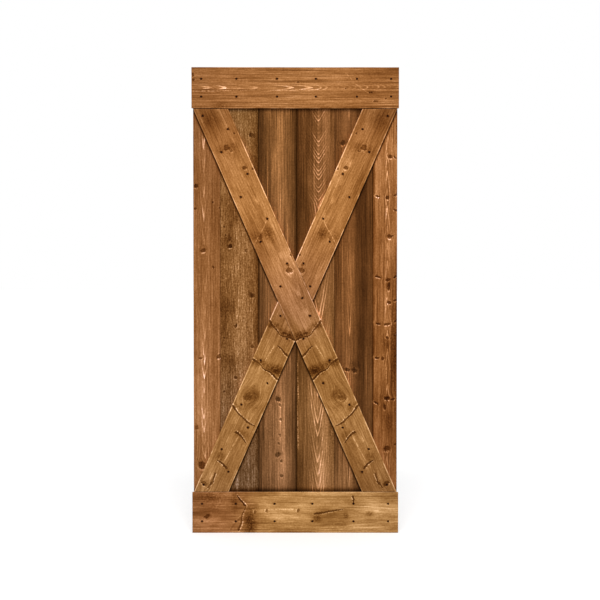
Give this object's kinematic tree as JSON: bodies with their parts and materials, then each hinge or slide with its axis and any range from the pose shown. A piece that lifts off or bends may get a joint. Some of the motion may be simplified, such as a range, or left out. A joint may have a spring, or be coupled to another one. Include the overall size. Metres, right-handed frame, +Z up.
{
  "type": "sliding barn door leaf",
  "caption": "Sliding barn door leaf of upright tongue-and-groove planks with top and bottom rails and an X brace screwed to the front.",
  "frame": {"origin": "middle of the bottom edge, halfway through the door's thickness", "axes": "+Z up along the planks, the front with the rails and braces faces -Y, X across the door"},
  "size_m": [0.946, 0.038, 2.134],
  "materials": {
    "plank_1_stain": "brown stain on knotty pine, satin",
    "plank_2_stain": "brown stain on knotty pine, satin",
    "plank_3_stain": "dark streaky brown stain on pine, satin",
    "plank_4_stain": "dark brown stain on pine, satin",
    "plank_5_stain": "reddish dark brown stain on pine, satin",
    "plank_6_stain": "brown stain on knotty pine, satin",
    "rail_stain": "golden brown stain on pine, satin",
    "brace_stain": "golden brown stain on knotty pine, satin",
    "black_screw": "black coating, matte"
  },
  "bodies": {
    "root": {"plank_1": "plank_1_stain", "plank_2": "plank_2_stain", "plank_3": "plank_3_stain", "plank_4": "plank_4_stain", "plank_5": "plank_5_stain", "plank_6": "plank_6_stain", "top_rail": "rail_stain", "bottom_rail": "rail_stain", "long_brace": "brace_stain", "upper_short_brace": "brace_stain", "lower_short_brace": "brace_stain", "top_rail_screws": "black_screw", "bottom_rail_screws": "black_screw", "long_brace_screws": "black_screw", "upper_short_brace_screws": "black_screw", "lower_short_brace_screws": "black_screw"}
  },
  "joints": []
}
